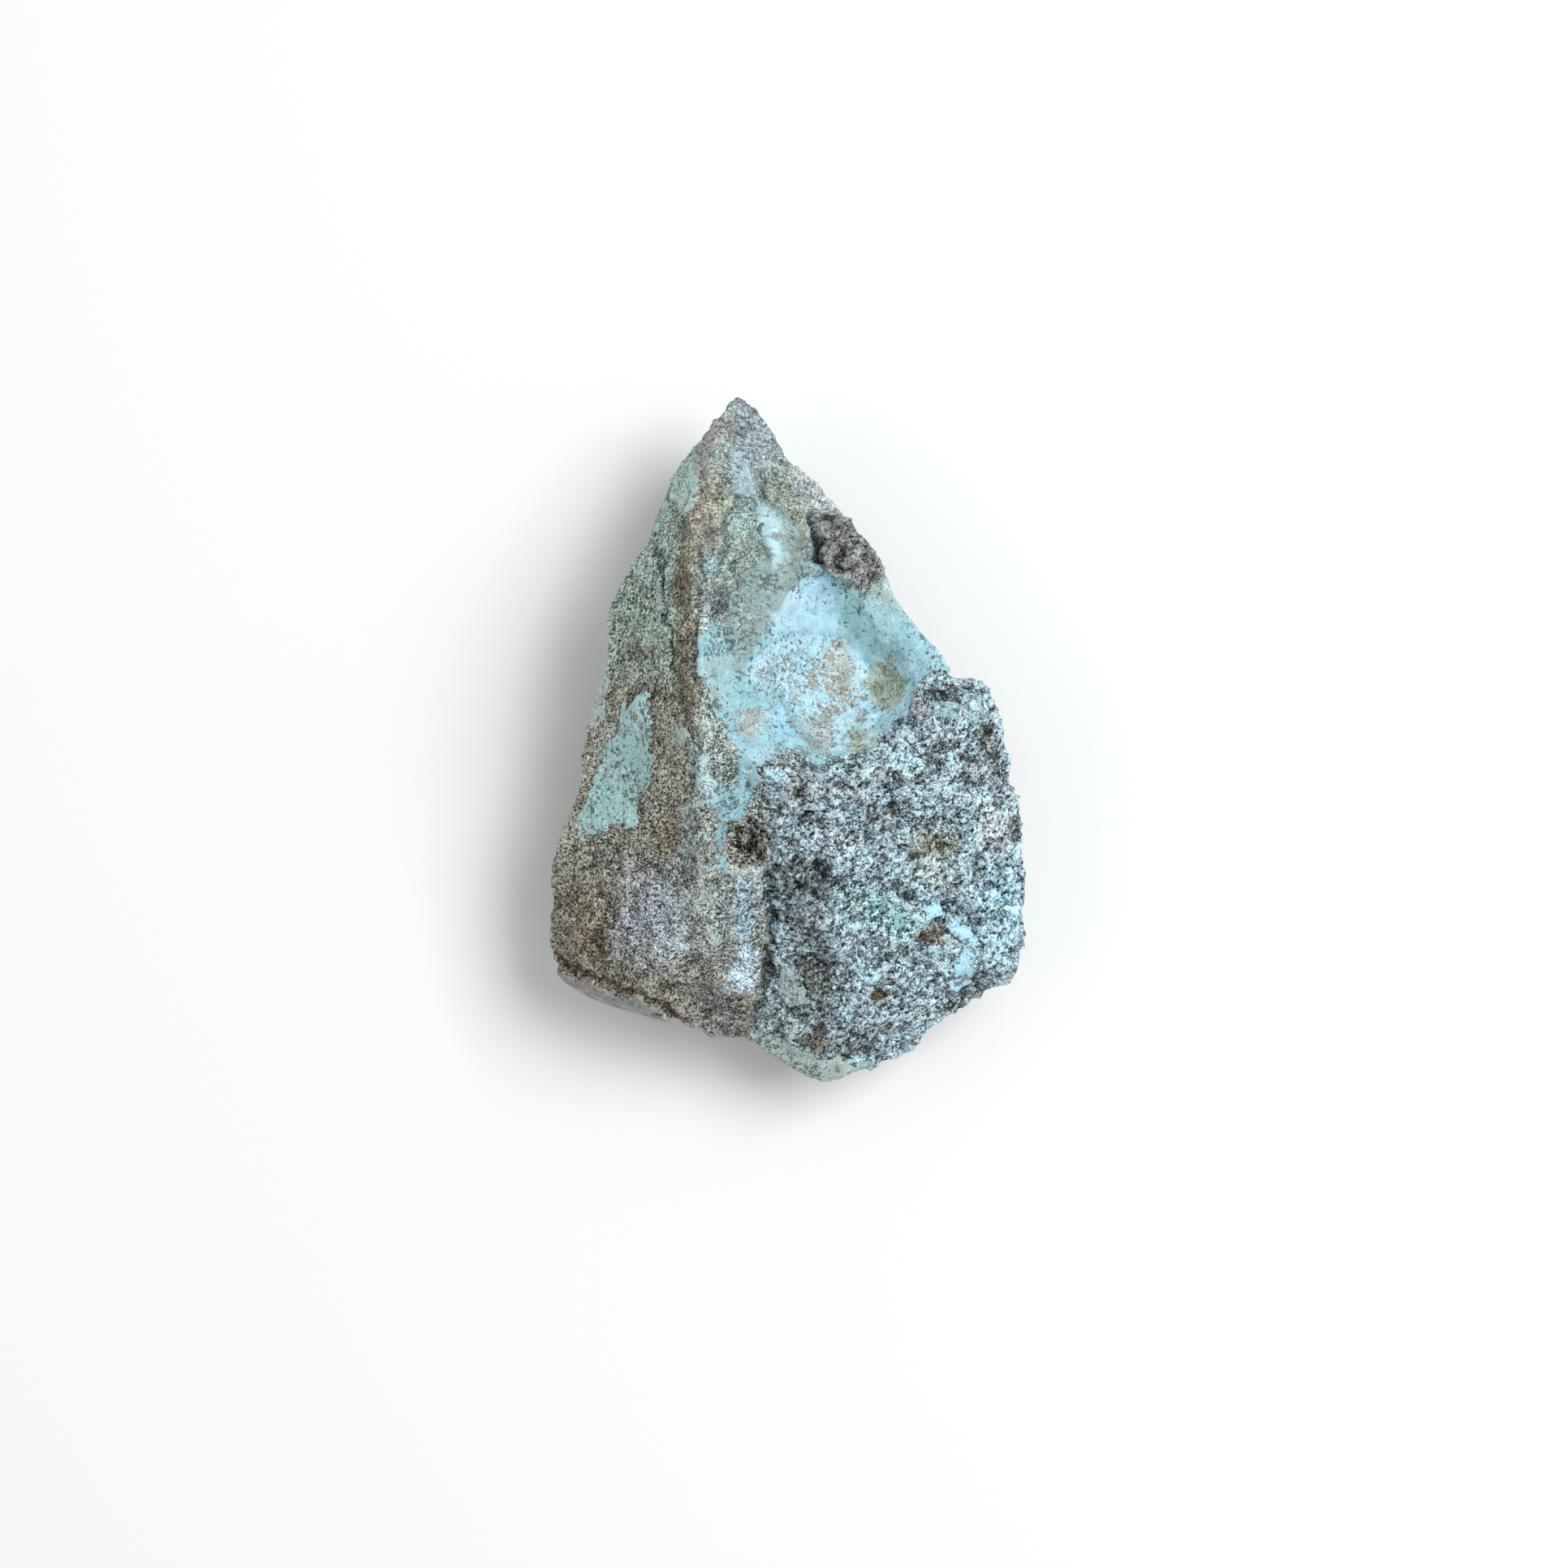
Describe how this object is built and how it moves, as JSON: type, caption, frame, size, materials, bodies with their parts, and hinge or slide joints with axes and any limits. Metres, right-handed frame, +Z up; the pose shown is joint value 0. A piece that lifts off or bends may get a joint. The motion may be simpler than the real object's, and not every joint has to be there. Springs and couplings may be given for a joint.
{
  "type": "raw turquoise nugget",
  "caption": "Rough wedge-shaped nugget of turquoise in grey host rock, pointed at one end, with a ridge, a turquoise-lined hollow and a granular face.",
  "frame": {"origin": "on the flat resting face's plane, under the middle of the bounding box", "axes": "+Y along the stone towards its pointed end, +X across it towards the granular face's edge, +Z up from the resting face"},
  "size_m": [0.0582, 0.0832, 0.035],
  "materials": {
    "turquoise_rock": "rough broken rock, mottled turquoise and grey"
  },
  "bodies": {
    "root": {"turquoise_nugget": "turquoise_rock"}
  },
  "joints": []
}
